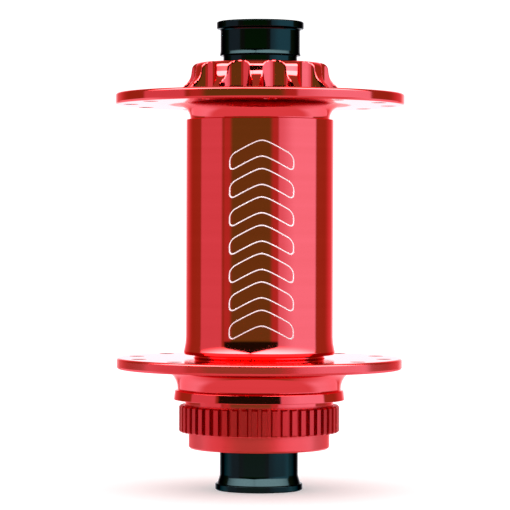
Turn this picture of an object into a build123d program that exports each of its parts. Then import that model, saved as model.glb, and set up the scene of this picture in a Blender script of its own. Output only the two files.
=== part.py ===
from build123d import *
import os
from math import tau

# Front disc-brake hub for a bicycle wheel, in millimetres.
# The hub turns about Z. The origin is midway between the two end faces. "Right" is +Z,
# the plain side; "left" is -Z, the side that carries the brake disc.

# ---- Driving dimensions ------------------------------------------------------------

# Overall
hub_width = 100.0               # over the two end faces that sit in the fork ends
axle_bore = 12.1                # through bore, for a 12 mm through axle

# Radial build-up, from the bore outwards
seat_wall = 1.45                # axle tube wall under the bearings
stub_step = 0.5                 # the tube's ends are this much smaller in radius than the seats
shoulder_height = 0.9           # step that the inner races butt against
tube_end_chamfer = 0.2
race_section = 4.5              # half the difference of a bearing's outside and bore diameters
bearing_width = 5.0

# Bearings
ball_diameter = 2.34
ball_count = 15
groove_clearance = 0.06         # around a ball in its race groove
race_chamfer = 0.3
cage_wall = 1.0                 # radial thickness of the cage ring
cage_clearance = 0.3            # between the cage and each race
cage_rim = 0.45                 # cage material above and below each pocket
pocket_clearance = 0.12         # around a ball in its pocket
seal_thickness = 0.45
seal_rebate = 0.55              # how far a bearing seal is let into the outer race, radially
seal_recess = 0.05              # bearing seal below the race's face
running_clearance = 0.05        # between a seal lip and what turns under it

# End caps
right_cap_wall = 1.5
left_cap_wall = 1.37
cap_web = 4.7                   # from an end face to the seat of the tube's end
cap_stand_out = 8.9             # from an end face to the end of the shell
right_rim_height = 1.6
right_rim_step = 0.81           # rim radius over the body radius
right_skirt_height = 7.3        # from the end face to the lower edge of the cap's body
right_rim_fillet = 0.4          # where the body meets the rim
right_skirt_flare = 0.15
right_skirt_edge = 0.15         # chamfer of the skirt's lower edge
right_flare_length = 0.75
right_flare_round = 2.0
right_neck_step = 0.6           # body radius over the neck radius
right_neck_fillet = 0.2
left_rim_height = 1.45
left_rim_step = 1.0
left_cone_height = 1.65
left_cone_step = 0.5
left_cone_round = 1.5
rim_chamfer = 0.2
bore_chamfer = 0.4

# Cap O-rings
o_ring_section = 0.75           # squeezed thickness of each O-ring
o_ring_groove_width = 0.95
o_ring_depth = 3.4              # groove centre, inward from the seat of the tube's end

# Spacer rings and dust seals
spacer_width = 2.0
spacer_wall = 1.2
dust_seal_width = 2.0
dust_seal_gap = 0.2             # between a dust seal and the bearing behind it
dust_seal_lip = 0.7             # width of the thin lip
dust_seal_lip_reach = 0.8       # how far the lip stands in from the seal's thick rim
dust_seal_recess = 0.6          # right seal, below the collar's end
left_seal_recess = 0.3          # left seal, below the floor of the lockring bore

# Hub shell: right side
collar_wall = 2.45              # around the right bearing
collar_length = 6.5             # from the collar's end to the flange
collar_draft = 0.4
collar_round = 1.4
collar_base = 3.15              # height and breadth of the cone into the flange
collar_waist_round = 3.0        # where the collar's wall meets that cone
collar_foot_round = 1.5         # where the cone meets the flange
mouth_chamfer = 0.3             # at the mouths of both bearing bores
flute_count = 12
flute_radius = 3.7
flute_depth = 0.85              # into the straight part of the collar
flute_foot = 0.35               # from the flange to the flat foot of each flute
flute_foot_round = 0.6

# Hub shell: flanges and spoke holes
right_flange_radius = 30.9
left_flange_radius = 30.5
flange_thickness = 2.35
flange_round = 0.45
spoke_hole = 2.6
right_spoke_edge = 3.3          # from a hole's centre to the flange's edge
left_spoke_edge = 3.6
spoke_count = 12                # in each flange
spoke_countersink = 0.35

# Hub shell: barrel
barrel_cover = 3.75             # barrel radius over the bearing radius
barrel_wall = 2.35
barrel_step = 0.85              # barrel radius over the neck beside the right flange
barrel_edge_round = 0.15
right_neck_length = 3.15
neck_round = 3.05
lip_step = 0.45                 # flared lip over the barrel radius
lip_width = 0.9
lip_taper = 0.2                 # the lip's underside tapers in by this much
lip_round = 0.2
flare_length = 3.5
flare_round = 11.0
groove_depth = 1.85             # groove beside the left flange, below the barrel radius
groove_width = 1.45             # from the flange to the top of the lip's edge
groove_round = 0.3
bearing_ledge = 1.0             # radial height of the ledge behind each outer race
ledge_length = 4.8              # right ledge, along the axis
cavity_cone = 2.6

# Hub shell: left side, with the splined disc-rotor mount
lockring_bore_step = 1.5        # lockring bore over the bearing radius
lockring_bore_depth = 4.1
nose_wall = 1.55
nose_length = 3.5
nose_chamfer = 0.35
nose_fillet = 0.2               # where the nose meets the toothed ring
spline_root_step = 1.25         # spline root over the nose radius
spline_height = 0.84
spline_length = 5.7
spline_count = 50
spline_gap_share = 0.5          # share of a tooth pitch that is gap, at the tips
spline_gap_taper = 0.62         # gap width at the root over its width at the tips
spline_chamfer = 0.3
spline_overcut = 0.3            # how far the gap cutters reach past the tips
relief_width = 1.2
relief_depth = 0.45             # relief groove, below the spline root
seat_step = 2.0                 # disc seat radius over the spline root
seat_land = 0.9                 # breadth of the raised land that the disc seats on
seat_raise = 0.1
seat_cone = 0.25                # how much the seat ring widens towards its land
seat_width = 2.1
seat_edge_round = 0.35
left_neck_step = 0.55           # neck below the narrow end of the seat ring
left_neck_length = 4.45
left_neck_round = 4.2
left_neck_fillet = 0.15         # where the neck meets the seat ring

# ---- Places worked out from the driving dimensions -----------------------------------

half_width = hub_width / 2
bore_radius = axle_bore / 2
seat_radius = bore_radius + seat_wall
stub_radius = seat_radius - stub_step
shoulder_radius = seat_radius + shoulder_height
bearing_radius = seat_radius + race_section
ball_radius = ball_diameter / 2
pitch_radius = (seat_radius + bearing_radius) / 2
race_shoulder = (race_section - cage_wall) / 2 - cage_clearance
shell_end = half_width - cap_stand_out
tube_end = half_width - cap_web

right_bearing_face = shell_end - dust_seal_recess - dust_seal_width - dust_seal_gap
left_bearing_face = (
    lockring_bore_depth + left_seal_recess + dust_seal_width + dust_seal_gap - shell_end
)
right_bearing_middle = right_bearing_face - bearing_width / 2
left_bearing_middle = left_bearing_face + bearing_width / 2

barrel_radius = bearing_radius + barrel_cover
collar_radius = bearing_radius + collar_wall
right_flange_top = shell_end - collar_length
right_flange_foot = right_flange_top - flange_thickness
barrel_top = right_flange_foot - right_neck_length

lockring_radius = bearing_radius + lockring_bore_step
nose_radius = lockring_radius + nose_wall
spline_root = nose_radius + spline_root_step
spline_tip = spline_root + spline_height
spline_foot = nose_length - shell_end
spline_head = spline_foot + spline_length
seat_face = spline_head + relief_width
seat_radius_outer = spline_root + seat_step
left_neck_radius = seat_radius_outer - seat_cone - left_neck_step
seat_back = seat_face + seat_width
left_flange_foot = seat_back + left_neck_length
left_flange_top = left_flange_foot + flange_thickness


# ---- Shared helpers --------------------------------------------------------------------

def turned(*outline):
    """A solid turned about Z from (radius, height) corners; a third value rounds a corner."""
    sketch = make_face(Polyline([corner[:2] for corner in outline], close=True).edges())
    for corner in outline:
        if len(corner) == 3:
            vertex = sketch.vertices().sort_by_distance((corner[0], corner[1], 0))[0]
            sketch = fillet(vertex, corner[2])
    return revolve(Plane.XZ * sketch, axis=Axis.Z)


def around(count, first_angle=0.0):
    """The placements of `count` equal steps about Z."""
    return [Rot(0, 0, first_angle + 360 / count * step) for step in range(count)]


# ---- Axle and end caps -------------------------------------------------------------------

def axle_tube():
    """The hollow axle: a thick middle, a seat for each bearing and a thinner stub at each end."""
    right_seat_end = right_bearing_face + spacer_width
    left_seat_end = left_bearing_face - spacer_width
    right_shoulder = right_bearing_face - bearing_width
    left_shoulder = left_bearing_face + bearing_width
    edge = tube_end_chamfer
    return turned(
        (bore_radius, -tube_end),
        (stub_radius - edge, -tube_end),
        (stub_radius, edge - tube_end),
        (stub_radius, left_seat_end),
        (seat_radius, left_seat_end),
        (seat_radius, left_shoulder),
        (shoulder_radius, left_shoulder),
        (shoulder_radius, right_shoulder),
        (seat_radius, right_shoulder),
        (seat_radius, right_seat_end),
        (stub_radius, right_seat_end),
        (stub_radius, tube_end - edge),
        (stub_radius - edge, tube_end),
        (bore_radius, tube_end),
    )


def o_ring_groove(side):
    """The ring that is cut from a cap's wall to hold its O-ring."""
    middle = side * (tube_end - o_ring_depth)
    half = o_ring_groove_width / 2
    return turned(
        (stub_radius, middle - half),
        (stub_radius + o_ring_section, middle - half),
        (stub_radius + o_ring_section, middle + half),
        (stub_radius, middle + half),
    )


def right_end_cap():
    """The plain side's cap: a chamfered rim, a straight body with a flared skirt, and a neck."""
    body = stub_radius + right_cap_wall
    rim = body + right_rim_step
    neck = body - right_neck_step
    rim_foot = half_width - right_rim_height
    skirt = half_width - right_skirt_height
    inner_end = right_bearing_face + spacer_width
    cap = turned(
        (bore_radius, tube_end),
        (bore_radius, half_width - bore_chamfer),
        (bore_radius + bore_chamfer, half_width),
        (rim - rim_chamfer, half_width),
        (rim, half_width - rim_chamfer),
        (rim, rim_foot + rim_chamfer),
        (rim - rim_chamfer, rim_foot),
        (body, rim_foot, right_rim_fillet),
        (body, skirt + right_skirt_edge + right_flare_length, right_flare_round),
        (body + right_skirt_flare, skirt + right_skirt_edge),
        (body + right_skirt_flare - right_skirt_edge, skirt),
        (neck, skirt, right_neck_fillet),
        (neck, inner_end),
        (stub_radius, inner_end),
        (stub_radius, tube_end),
    )
    return cap - o_ring_groove(1)


def left_end_cap():
    """The disc side's cap: a thin rim on a concave cone, and a long straight body."""
    body = stub_radius + left_cap_wall
    rim = body + left_rim_step
    cone_end = body + left_cone_step
    rim_top = left_rim_height - half_width
    cone_top = rim_top + left_cone_height
    inner_end = left_bearing_face - spacer_width
    cap = turned(
        (bore_radius, -tube_end),
        (bore_radius, bore_chamfer - half_width),
        (bore_radius + bore_chamfer, -half_width),
        (rim - rim_chamfer, -half_width),
        (rim, rim_chamfer - half_width),
        (rim, rim_top - rim_chamfer),
        (rim - rim_chamfer, rim_top),
        (cone_end, rim_top),
        (body, cone_top, left_cone_round),
        (body, inner_end),
        (stub_radius, inner_end),
        (stub_radius, -tube_end),
    )
    return cap - o_ring_groove(-1)


def o_ring(side):
    """A round-section ring, squeezed between the tube's stub and the groove in the cap."""
    section = o_ring_section / 2
    middle = side * (tube_end - o_ring_depth)
    return Pos(0, 0, middle) * Torus(stub_radius + section, section)


def spacer_ring(inner_face, outer_face):
    """A plain ring between an inner race and its cap; the dust seal's lip runs on it."""
    return turned(
        (seat_radius, inner_face),
        (seat_radius + spacer_wall, inner_face),
        (seat_radius + spacer_wall, outer_face),
        (seat_radius, outer_face),
    )


# ---- Bearings ------------------------------------------------------------------------------

def race_groove():
    """The round track that the balls run in, with clearance around them."""
    return Torus(pitch_radius, ball_radius + groove_clearance)


def inner_race():
    """The race on the axle, about the bearing's own middle."""
    half = bearing_width / 2
    outer = seat_radius + race_shoulder
    blank = turned(
        (seat_radius, race_chamfer - half),
        (seat_radius + race_chamfer, -half),
        (outer, -half),
        (outer, half),
        (seat_radius + race_chamfer, half),
        (seat_radius, half - race_chamfer),
    )
    return blank - race_groove()


def outer_race():
    """The race in the shell, with a rebate at each face for a seal."""
    half = bearing_width / 2
    inner = bearing_radius - race_shoulder
    rebate = inner + seal_rebate
    ledge = half - seal_recess - seal_thickness
    blank = turned(
        (inner, -ledge),
        (rebate, -ledge),
        (rebate, -half),
        (bearing_radius - race_chamfer, -half),
        (bearing_radius, race_chamfer - half),
        (bearing_radius, half - race_chamfer),
        (bearing_radius - race_chamfer, half),
        (rebate, half),
        (rebate, ledge),
        (inner, ledge),
    )
    return blank - race_groove()


def bearing_seal(side):
    """A flat contact seal held in the outer race, with a fine gap to the inner race."""
    outer = bearing_radius - race_shoulder + seal_rebate
    inner = seat_radius + race_shoulder + running_clearance
    face = bearing_width / 2 - seal_recess
    middle = side * (face - seal_thickness / 2)
    ring = Cylinder(outer, seal_thickness) - Cylinder(inner, seal_thickness)
    return Pos(0, 0, middle) * ring


def balls():
    """One bearing's balls, evenly spaced on the pitch circle."""
    ball = Pos(pitch_radius, 0, 0) * Sphere(ball_radius)
    return Compound(children=[turn * ball for turn in around(ball_count)])


def cage():
    """The ring that keeps the balls apart, with a round pocket for each."""
    pocket_radius = ball_radius + pocket_clearance
    height = 2 * (pocket_radius + cage_rim)
    ring = Cylinder(pitch_radius + cage_wall / 2, height)
    ring -= Cylinder(pitch_radius - cage_wall / 2, height)
    pocket = Pos(pitch_radius, 0, 0) * Rot(0, 90, 0) * Cylinder(pocket_radius, 3 * cage_wall)
    return ring - [turn * pocket for turn in around(ball_count)]


def dust_seal(side, bearing_face):
    """A rubber ring pressed into the shell, thinned to a lip that runs on the spacer ring."""
    back = bearing_face + side * dust_seal_gap
    front = back + side * dust_seal_width
    lip = seat_radius + spacer_wall + running_clearance
    thin = back + side * dust_seal_lip
    waist = lip + dust_seal_lip_reach
    return turned(
        (lip, back),
        (bearing_radius, back),
        (bearing_radius, front),
        (waist, front),
        (waist, thin),
        (lip, thin),
    )


# ---- Hub shell ---------------------------------------------------------------------------

def shell_blank():
    """The turned shape of the shell, without flutes, spline teeth and spoke holes."""
    collar_foot = right_flange_top + collar_base
    cone_edge = collar_radius + collar_draft + collar_base
    neck = barrel_radius - barrel_step
    lip = barrel_radius + lip_step
    lip_top = left_flange_top + groove_width
    lip_foot = lip_top - lip_width + lip_taper
    ledge_radius = bearing_radius - bearing_ledge
    cavity_radius = barrel_radius - barrel_wall
    right_ledge = right_bearing_face - bearing_width
    left_ledge = left_bearing_face + bearing_width
    cavity_top = right_ledge - ledge_length
    cavity_foot = lip_top + lip_width
    return turned(
        # Collar and right flange
        (bearing_radius, shell_end - mouth_chamfer),
        (bearing_radius + mouth_chamfer, shell_end),
        (collar_radius, shell_end, collar_round),
        (collar_radius + collar_draft, collar_foot, collar_waist_round),
        (cone_edge, right_flange_top, collar_foot_round),
        (right_flange_radius, right_flange_top, flange_round),
        (right_flange_radius, right_flange_foot, flange_round),
        # Barrel, with its flared lip over the undercut
        (neck, right_flange_foot, neck_round),
        (neck, barrel_top),
        (barrel_radius, barrel_top, barrel_edge_round),
        (barrel_radius, lip_top + flare_length / 2, flare_round),
        (lip, lip_top, lip_round),
        (lip - lip_taper, lip_foot, lip_round),
        (barrel_radius - groove_depth, lip_foot, groove_round),
        (barrel_radius - groove_depth, left_flange_top, groove_round),
        # Left flange and the neck behind the disc seat
        (left_flange_radius, left_flange_top, flange_round),
        (left_flange_radius, left_flange_foot, flange_round),
        (left_neck_radius, left_flange_foot, left_neck_round),
        (left_neck_radius, seat_back, left_neck_fillet),
        (left_neck_radius + left_neck_step, seat_back, seat_edge_round),
        # Disc seat, relief groove, spline root and nose
        (seat_radius_outer, seat_face),
        (seat_radius_outer - seat_land, seat_face),
        (seat_radius_outer - seat_land, seat_face + seat_raise),
        (spline_root - relief_depth, seat_face + seat_raise),
        (spline_root - relief_depth, spline_head),
        (spline_root, spline_head),
        (spline_root, spline_foot),
        (nose_radius, spline_foot, nose_fillet),
        (nose_radius, nose_chamfer - shell_end),
        (nose_radius - nose_chamfer, -shell_end),
        # Inside: lockring bore, left bearing seat, cavity, right bearing seat
        (lockring_radius + mouth_chamfer, -shell_end),
        (lockring_radius, mouth_chamfer - shell_end),
        (lockring_radius, lockring_bore_depth - shell_end),
        (bearing_radius, lockring_bore_depth - shell_end),
        (bearing_radius, left_ledge),
        (ledge_radius, left_ledge),
        (ledge_radius, cavity_foot),
        (cavity_radius, cavity_foot + cavity_cone),
        (cavity_radius, cavity_top - cavity_cone),
        (ledge_radius, cavity_top),
        (ledge_radius, right_ledge),
        (bearing_radius, right_ledge),
    )


def collar_flutes():
    """Straight flutes down the collar. The lands between them lie at -Y and every step on."""
    centre = collar_radius + flute_radius - flute_depth
    foot = right_flange_top + flute_foot
    cutter = turned(
        (0, foot),
        (flute_radius, foot, flute_foot_round),
        (flute_radius, shell_end + collar_round),
        (0, shell_end + collar_round),
    )
    flute = Pos(centre, 0, 0) * cutter
    half_step = 180 / flute_count
    return [turn * flute for turn in around(flute_count, half_step - 90)]


def spline_teeth():
    """The toothed ring of the disc-rotor mount, chamfered at both ends."""
    pitch = tau * spline_tip / spline_count
    wide = pitch * spline_gap_share
    narrow = wide * spline_gap_taper
    over = spline_overcut
    flare = (wide - narrow) / 2 * over / spline_height
    gap = make_face(Polyline(
        [
            (spline_root, -narrow / 2),
            (spline_tip + over, -wide / 2 - flare),
            (spline_tip + over, wide / 2 + flare),
            (spline_root, narrow / 2),
        ],
        close=True,
    ).edges())
    ring = Circle(spline_tip) - Circle(spline_root - relief_depth)
    toothed = ring - [turn * gap for turn in around(spline_count)]
    teeth = Pos(0, 0, spline_foot) * extrude(toothed, spline_length)
    envelope = turned(
        (spline_root - relief_depth, spline_foot),
        (spline_tip - spline_chamfer, spline_foot),
        (spline_tip, spline_foot + spline_chamfer),
        (spline_tip, spline_head - spline_chamfer),
        (spline_tip - spline_chamfer, spline_head),
        (spline_root - relief_depth, spline_head),
    )
    return teeth & envelope


def spoke_holes(circle_radius, flange_foot, first_angle):
    """One flange's ring of countersunk spoke holes, as cutters."""
    radius = spoke_hole / 2
    drill = Cylinder(radius, 3 * flange_thickness)
    sink = Cone(radius, radius + 2 * spoke_countersink, 2 * spoke_countersink)
    cutter = drill + Pos(0, 0, flange_thickness / 2) * sink
    cutter += Pos(0, 0, -flange_thickness / 2) * Rot(180, 0, 0) * sink
    place = Pos(circle_radius, 0, flange_foot + flange_thickness / 2)
    return [turn * place * cutter for turn in around(spoke_count, first_angle)]


def hub_shell():
    """The shell, one piece of aluminium from the collar to the nose."""
    shell = shell_blank() + spline_teeth()
    shell -= collar_flutes()
    step = 360 / spoke_count
    right_circle = right_flange_radius - right_spoke_edge
    left_circle = left_flange_radius - left_spoke_edge
    shell -= spoke_holes(right_circle, right_flange_foot, step / 4)
    shell -= spoke_holes(left_circle, left_flange_foot, -step / 4)
    return shell


# ---- The assembly --------------------------------------------------------------------------

def bearing_nodes(name, middle):
    """One bearing's nodes, moved to its seat."""
    pieces = {
        "inner_race": inner_race(),
        "outer_race": outer_race(),
        "balls": balls(),
        "cage": cage(),
        "upper_seal": bearing_seal(1),
        "lower_seal": bearing_seal(-1),
    }
    return {f"{name}_{piece}": Pos(0, 0, middle) * solid for piece, solid in pieces.items()}


nodes = {
    "hub_shell": hub_shell(),
    "axle_tube": axle_tube(),
    "right_end_cap": right_end_cap(),
    "left_end_cap": left_end_cap(),
    "right_cap_o_ring": o_ring(1),
    "left_cap_o_ring": o_ring(-1),
    "right_spacer_ring": spacer_ring(right_bearing_face, right_bearing_face + spacer_width),
    "left_spacer_ring": spacer_ring(left_bearing_face, left_bearing_face - spacer_width),
    "right_dust_seal": dust_seal(1, right_bearing_face),
    "left_dust_seal": dust_seal(-1, left_bearing_face),
}
nodes.update(bearing_nodes("right_bearing", right_bearing_middle))
nodes.update(bearing_nodes("left_bearing", left_bearing_middle))

os.makedirs("parts", exist_ok=True)
for node, solid in nodes.items():
    export_step(solid, f"parts/{node}.step")
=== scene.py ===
from math import acos, cos, pi, radians, sin, tan

import bmesh
import bpy
from mathutils import Matrix, Vector


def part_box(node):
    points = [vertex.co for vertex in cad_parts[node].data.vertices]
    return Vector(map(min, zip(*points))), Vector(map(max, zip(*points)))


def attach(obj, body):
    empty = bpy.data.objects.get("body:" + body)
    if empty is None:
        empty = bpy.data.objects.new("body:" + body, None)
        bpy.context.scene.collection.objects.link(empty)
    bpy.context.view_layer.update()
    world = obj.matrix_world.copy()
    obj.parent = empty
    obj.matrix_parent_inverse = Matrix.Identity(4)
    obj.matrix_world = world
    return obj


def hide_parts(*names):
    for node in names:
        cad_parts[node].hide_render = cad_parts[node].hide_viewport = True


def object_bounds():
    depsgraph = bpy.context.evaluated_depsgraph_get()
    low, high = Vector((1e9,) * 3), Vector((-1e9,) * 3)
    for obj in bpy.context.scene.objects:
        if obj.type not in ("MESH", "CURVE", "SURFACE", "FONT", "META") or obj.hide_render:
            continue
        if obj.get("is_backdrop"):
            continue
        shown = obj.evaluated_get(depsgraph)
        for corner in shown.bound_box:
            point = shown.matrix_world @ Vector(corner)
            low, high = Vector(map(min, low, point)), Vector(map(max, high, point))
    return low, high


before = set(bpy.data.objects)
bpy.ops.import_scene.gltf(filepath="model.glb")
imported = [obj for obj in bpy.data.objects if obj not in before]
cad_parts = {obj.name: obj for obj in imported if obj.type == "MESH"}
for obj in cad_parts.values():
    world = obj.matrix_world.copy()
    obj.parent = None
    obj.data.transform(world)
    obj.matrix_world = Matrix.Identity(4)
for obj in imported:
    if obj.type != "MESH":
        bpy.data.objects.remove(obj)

cad_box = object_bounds()
mm = 0.001

# ---- Camera --------------------------------------------------------------------------
# The hub stands on its left end cap and is seen level, from about half a metre away with
# a long lens, a little to one side of a land of the fluted collar.

EYE_DISTANCE = 558 * mm
EYE_HEIGHT = 5.1 * mm
EYE_AZIMUTH = radians(3.2)
AIM_ASIDE = -0.98 * mm
AIM_HEIGHT = 0.19 * mm
EYE_ROLL = radians(0.186)
LENS = 184
SENSOR_WIDTH = 36

across = Vector((cos(EYE_AZIMUTH), sin(EYE_AZIMUTH), 0))
towards = Vector((-sin(EYE_AZIMUTH), cos(EYE_AZIMUTH), 0))
eye = across * AIM_ASIDE - towards * EYE_DISTANCE + Vector((0, 0, EYE_HEIGHT))
aim = across * AIM_ASIDE + Vector((0, 0, AIM_HEIGHT))
camera = bpy.data.objects.new("camera", bpy.data.cameras.new("camera"))
camera.data.lens = LENS
camera.data.sensor_width = SENSOR_WIDTH
camera.data.clip_start = 10 * mm
camera.location = eye
look = (aim - eye).to_track_quat("-Z", "Y").to_matrix().to_4x4()
camera.rotation_euler = (look @ Matrix.Rotation(EYE_ROLL, 4, "Z")).to_euler()
bpy.context.scene.collection.objects.link(camera)
bpy.context.scene.camera = camera
bpy.context.scene.view_settings.view_transform = "Standard"


# ---- Studio light --------------------------------------------------------------------
# A white sweep and table, with a large softbox to the right of the camera, a weaker one to
# the left, a bright one overhead, a dark card round the camera and dark flags at the sides.
# The bright metal mirrors them by direction; matt surfaces are lit evenly.

class Wire:
    """An output of a node, which Python's operators work on by adding Math nodes."""

    def __init__(self, tree, socket=None):
        self.tree = tree
        self.socket = socket

    def node(self, kind, settings=None, inputs=None, output=0):
        """Adds a node with its settings, then sets or links its inputs by name or number."""
        node = self.tree.nodes.new(kind)
        for name, value in (settings or {}).items():
            if name != "stops":
                setattr(node, name, value)
                continue
            ramp = node.color_ramp
            while len(ramp.elements) < len(value):
                ramp.elements.new(0.5)
            for element, (place, level) in zip(ramp.elements, value):
                element.position = place
                element.color = (level, level, level, 1)
        for key, value in (inputs or {}).items():
            for source in value if isinstance(value, list) else [value]:
                if isinstance(source, Wire):
                    self.tree.links.new(source.socket, node.inputs[key])
                else:
                    node.inputs[key].default_value = source
        return Wire(self.tree, node.outputs[output]) if node.outputs else node

    def output(self, name):
        """Another output of the same node."""
        return Wire(self.tree, self.socket.node.outputs[name])

    def math(self, operation, *values):
        inputs = dict(enumerate((self, *values)))
        return self.node("ShaderNodeMath", {"operation": operation}, inputs)

    def __add__(self, value):
        return self.math("ADD", value)

    def __sub__(self, value):
        return self.math("SUBTRACT", value)

    def __rsub__(self, value):
        return self.node("ShaderNodeMath", {"operation": "SUBTRACT"}, {0: value, 1: self})

    def __mul__(self, value):
        return self.math("MULTIPLY", value)

    def __truediv__(self, value):
        return self.math("DIVIDE", value)

    __radd__ = __add__
    __rmul__ = __mul__

    def rise(self, low, high):
        """0 below low and 1 above high, with a smooth rise between them."""
        inputs = {"Value": self, "From Min": low, "From Max": high}
        return self.node("ShaderNodeMapRange", {"interpolation_type": "SMOOTHSTEP"}, inputs)


# The Mix node has several sockets of each name, so its colour sockets go by number.
MIX_FACTOR, MIX_LOW, MIX_HIGH, MIX_RESULT = 0, 6, 7, 2


def mixed(mask, low, high):
    """A colour that goes from low to high as mask goes from 0 to 1."""
    inputs = {MIX_FACTOR: mask, MIX_LOW: low, MIX_HIGH: high}
    return mask.node("ShaderNodeMix", {"data_type": "RGBA"}, inputs, MIX_RESULT)


world = bpy.data.worlds.new("studio")
bpy.context.scene.world = world
world.use_nodes = True
world.node_tree.nodes.clear()
studio = Wire(world.node_tree)

direction = studio.node("ShaderNodeTexCoord", output="Generated")
parts = studio.node("ShaderNodeSeparateXYZ", inputs={0: direction})
azimuth = parts.math("ARCTAN2", 0 - parts.output("Y")) * (180 / pi)
elevation = parts.output("Z").math("ARCSINE") * (180 / pi)

SWEEP = (1.5, 1.5, 1.6, 1)
CEILING = (0.45, 0.55, 0.25, 1)
TABLE = (1.05, 0.95, 1.05, 1)
TABLE_BEHIND = (1.4, 3.0, 3.6, 1)
TABLE_UNDER = (0.47, 0.6, 0.2, 1)
FLAG = (0.46, 0.36, 0.14, 1)
FLAG_EDGE = (0.95, 0.6, 0.65, 1)
CARD = (0.2, 0.64, 0.09, 1)
CARD_RIM = (0.64, 0.38, 0.28, 1)
CARD_TOP = (0.012, 0.05, 0.012, 1)
LEFT_BOX = (0.98, 0.95, 1.15, 1)
RIGHT_BOX_NEAR = (1.1, 1.6, 2.0, 1)
RIGHT_BOX_FAR = (1.4, 3.1, 3.9, 1)
HIGH_BOX = (16.0, 16.0, 16.0, 1)
EVEN_LIGHT = (1.2, 1.2, 1.2, 1)

# Degrees to the right of the camera, seen from the hub. A pair is where one thing gives way
# to the next.
CARD_MIDDLE = -10.5
CARD_HALF = 43.0
CARD_EDGE = (-1.5, 1.5)
CARD_TO_RIM = (-15, -7)
LEFT_BOX_TO_FLAG = (-60, -56)
LEFT_TO_RIGHT = (-10, 0)
RIGHT_NEAR_TO_FAR = (32, 62)

# Degrees from the camera to either side.
BOXES_TO_FLAG = (99, 103)
BOXES_LEAN = 14
FLAG_TO_ITS_EDGE = (124, 148)
FLAG_TO_SWEEP = (150, 164)
TABLE_FRONT_TO_BEHIND = (78, 102)
NEAR_TABLE_END = (146.5, 149.5)

# Degrees above the horizon, and then below it.
CARD_TO_TOP = (3.2, 6.5)
BOXES_LEAN_RISE = (8, 40)
BOXES_TO_HIGH_BOX = (11, 25)
CARD_NARROWS = (12, 27)
SIDES_TO_CEILING = (42, 50)
SIDES_TO_NEAR_TABLE = (3.4, 6.5)
SWEEP_TO_TABLE = (14, 30)
TABLE_BEHIND_FADES = (34, 60)
TABLE_TO_UNDER = (56, 74)

# The card narrows upwards to a point, where the two boxes meet under the high one.
from_front = azimuth.math("ABSOLUTE")
depth = 0 - elevation
narrowing = 1 - elevation.rise(*CARD_NARROWS)
past_card = (azimuth - CARD_MIDDLE).math("ABSOLUTE") - narrowing * CARD_HALF
card = mixed(past_card.rise(*CARD_TO_RIM), CARD, CARD_RIM)
card = mixed(elevation.rise(*CARD_TO_TOP), card, CARD_TOP)

from_boxes = from_front + elevation.rise(*BOXES_LEAN_RISE) * BOXES_LEAN
left_box = mixed(azimuth.rise(*LEFT_BOX_TO_FLAG), LEFT_BOX, FLAG)
right_box = mixed(azimuth.rise(*RIGHT_NEAR_TO_FAR), RIGHT_BOX_NEAR, RIGHT_BOX_FAR)
boxes = mixed(azimuth.rise(*LEFT_TO_RIGHT), left_box, right_box)
boxes = mixed(elevation.rise(*BOXES_TO_HIGH_BOX), boxes, HIGH_BOX)

# The table darkens straight below, where it lies in the hub's own shadow.
table_behind = mixed(depth.rise(*TABLE_BEHIND_FADES), TABLE_BEHIND, TABLE)
table_behind = mixed(depth.rise(*TABLE_TO_UNDER), table_behind, TABLE_UNDER)
table = mixed(from_front.rise(*TABLE_FRONT_TO_BEHIND), TABLE, table_behind)
near_table = depth.rise(*SIDES_TO_NEAR_TABLE) * (1 - from_front.rise(*NEAR_TABLE_END))
on_table = near_table.math("MAXIMUM", depth.rise(*SWEEP_TO_TABLE))

flag = mixed(from_front.rise(*FLAG_TO_ITS_EDGE), FLAG, FLAG_EDGE)
sky = mixed(from_front.rise(*FLAG_TO_SWEEP), flag, SWEEP)
sky = mixed(from_boxes.rise(*BOXES_TO_FLAG), boxes, sky)
sky = mixed(past_card.rise(*CARD_EDGE), card, sky)
sky = mixed(elevation.rise(*SIDES_TO_CEILING), sky, CEILING)
sky = mixed(on_table, sky, table)

# Only direct mirror images show the sky; the matt floor and rubber get an even light.
light_path = studio.node("ShaderNodeLightPath", output="Is Glossy Ray")
glossy = light_path * light_path.output("Diffuse Depth").math("LESS_THAN", 0.5)
inputs = {"Color": mixed(glossy, EVEN_LIGHT, sky)}
light = studio.node("ShaderNodeBackground", inputs=inputs)
studio.node("ShaderNodeOutputWorld", inputs={"Surface": light})


# ---- Floor ------------------------------------------------------------------------------
# A wide matt white table under the left end cap. It is lit faintly from within, as a light
# table is, so the hub's shadow stays soft.

FLOOR_HALF = 4.0
FLOOR_WHITE = (0.93, 0.93, 0.93, 1)
FLOOR_ROUGHNESS = 0.9
FLOOR_GLOW = 0.2

floor_level = cad_box[0].z
floor_mesh = bpy.data.meshes.new("floor")
floor_corners = [(-1, -1), (1, -1), (1, 1), (-1, 1)]
floor_mesh.from_pydata(
    [(x * FLOOR_HALF, y * FLOOR_HALF, floor_level) for x, y in floor_corners],
    [],
    [(0, 1, 2, 3)],
)
floor = bpy.data.objects.new("floor", floor_mesh)
floor_material = bpy.data.materials.new("white_table")
floor_material.use_nodes = True
floor_shader = floor_material.node_tree.nodes["Principled BSDF"]
floor_shader.inputs["Base Color"].default_value = FLOOR_WHITE
floor_shader.inputs["Roughness"].default_value = FLOOR_ROUGHNESS
floor_shader.inputs["Specular IOR Level"].default_value = 0
floor_shader.inputs["Emission Color"].default_value = (1, 1, 1, 1)
floor_shader.inputs["Emission Strength"].default_value = FLOOR_GLOW
floor_mesh.materials.append(floor_material)
floor.visible_glossy = False
bpy.context.scene.collection.objects.link(floor)
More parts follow.
